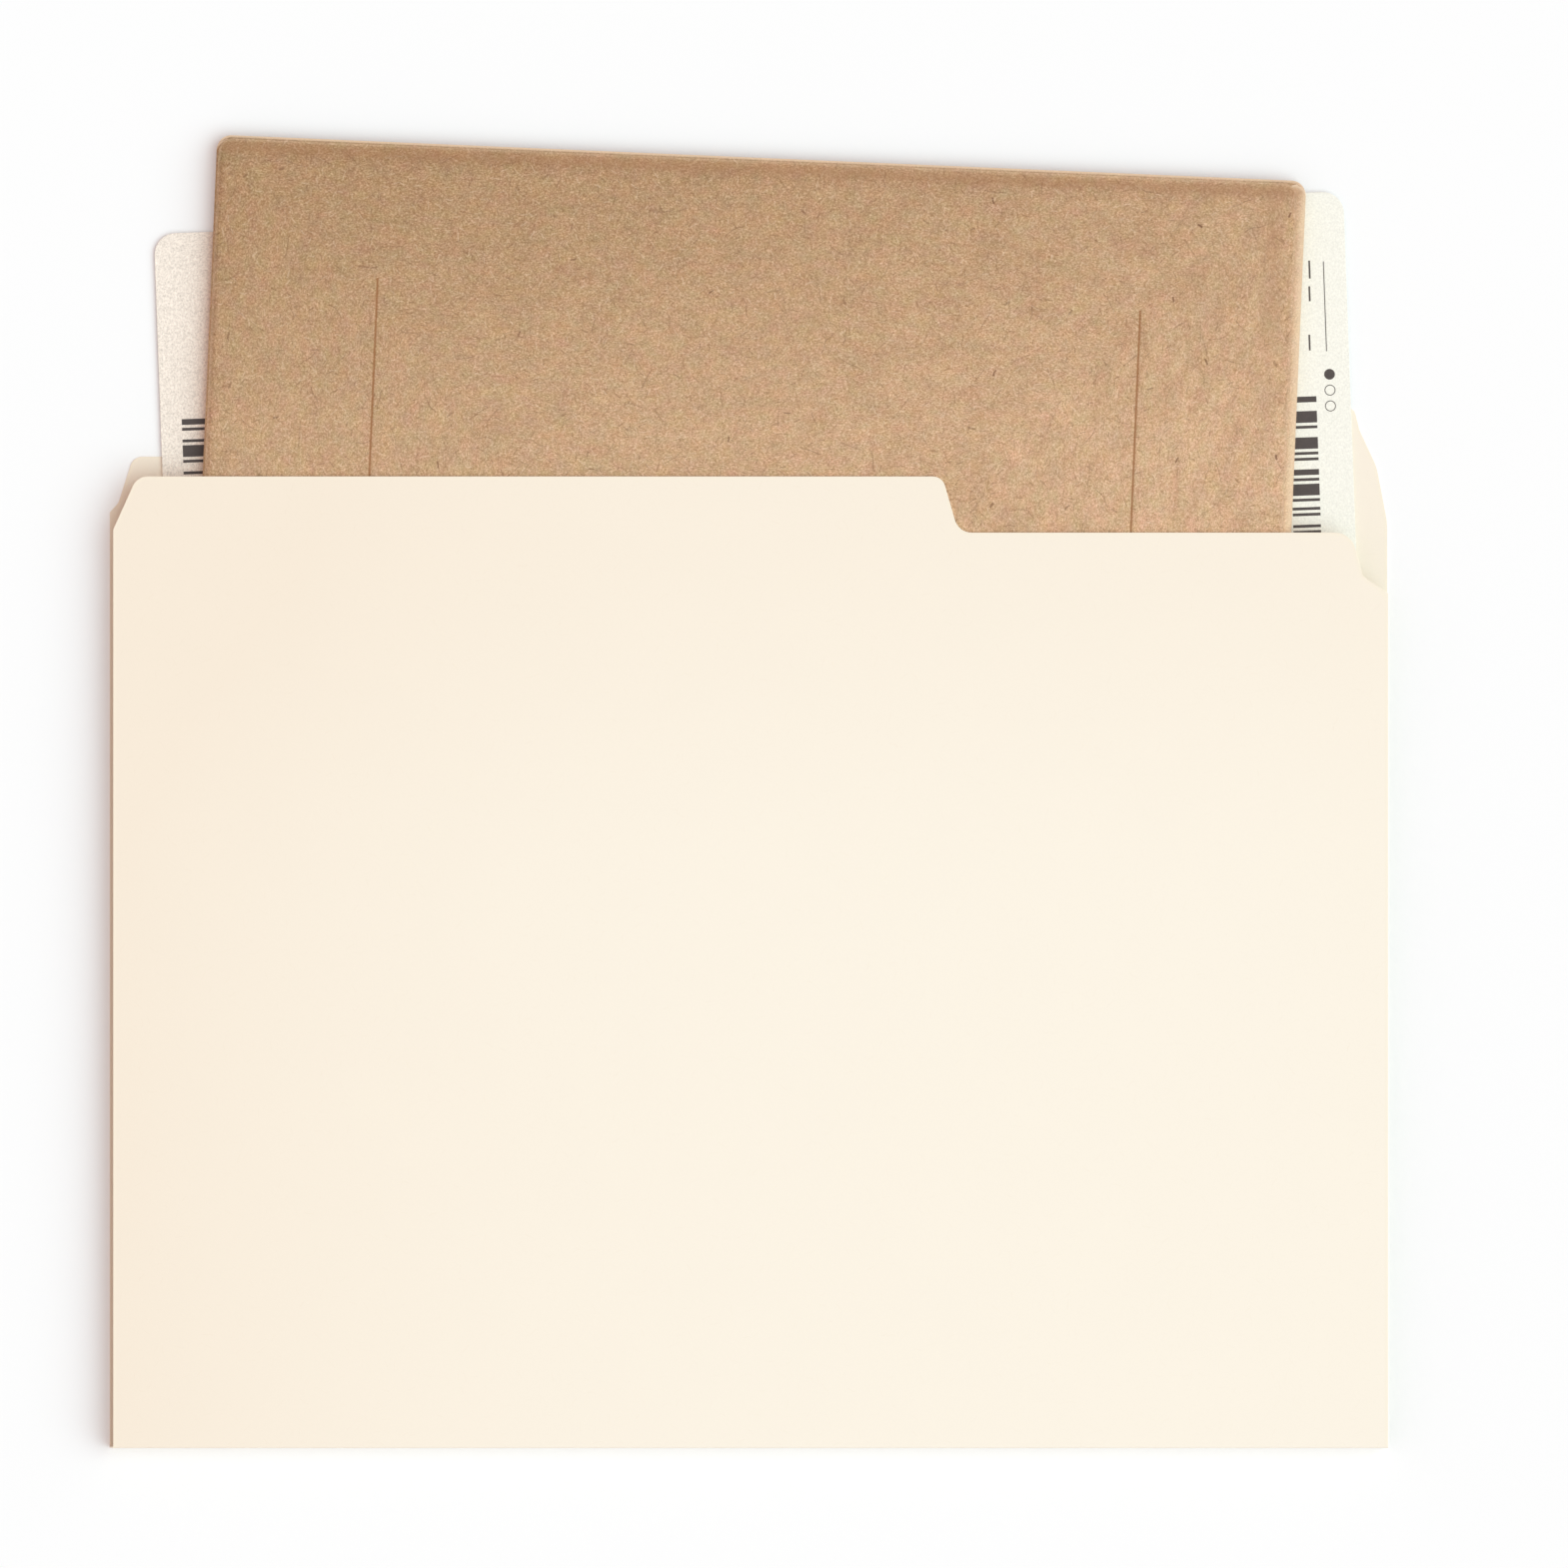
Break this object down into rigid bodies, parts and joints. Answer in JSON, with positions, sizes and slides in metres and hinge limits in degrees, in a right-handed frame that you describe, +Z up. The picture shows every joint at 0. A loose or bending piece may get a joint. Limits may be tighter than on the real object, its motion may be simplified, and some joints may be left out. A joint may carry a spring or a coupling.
{
  "type": "file folder",
  "caption": "Letter-size manila file folder with a stepped front leaf and a right-hand tab, holding a kraft envelope and a cream card that slide out at the top.",
  "frame": {"origin": "middle of the back leaf's underside, half way between the spine and the top of the tab", "axes": "+Z up out of the front leaf, +Y from the spine towards the tab, +X to the right as the front leaf is read"},
  "size_m": [0.2984, 0.3064, 0.0066],
  "materials": {
    "manila": "smooth matt manila board with fine fibres",
    "kraft": "matt brown kraft with fine speckle and short dark fibres",
    "cream_card": "smooth cream card with printed black marks"
  },
  "bodies": {
    "back": {"back_leaf": "manila"},
    "spine": {"spine_strip": "manila"},
    "front": {"front_leaf": "manila"},
    "envelope": {"envelope_rear_panel": "kraft", "envelope_face_panel": "kraft", "envelope_left_fold": "kraft", "envelope_right_fold": "kraft", "envelope_bottom_fold": "kraft", "envelope_left_flap": "kraft", "envelope_right_flap": "kraft"},
    "card": {"printed_card": "cream_card"}
  },
  "joints": [
    {"name": "lower_crease", "type": "hinge", "parent": "back", "child": "spine", "pos_m": [0, -0.12125, 0.00015], "axis": [1, 0, 0], "range_deg": [0, 90]},
    {"name": "upper_crease", "type": "hinge", "parent": "spine", "child": "front", "pos_m": [0, -0.12125, 0.00645], "axis": [1, 0, 0], "range_deg": [0, 90]},
    {"name": "envelope_slide", "type": "slide", "parent": "back", "child": "envelope", "axis": [0, 1, 0], "range_m": [0, 0.2]},
    {"name": "card_slide", "type": "slide", "parent": "back", "child": "card", "axis": [0, 1, 0], "range_m": [-0.06, 0.13]}
  ]
}
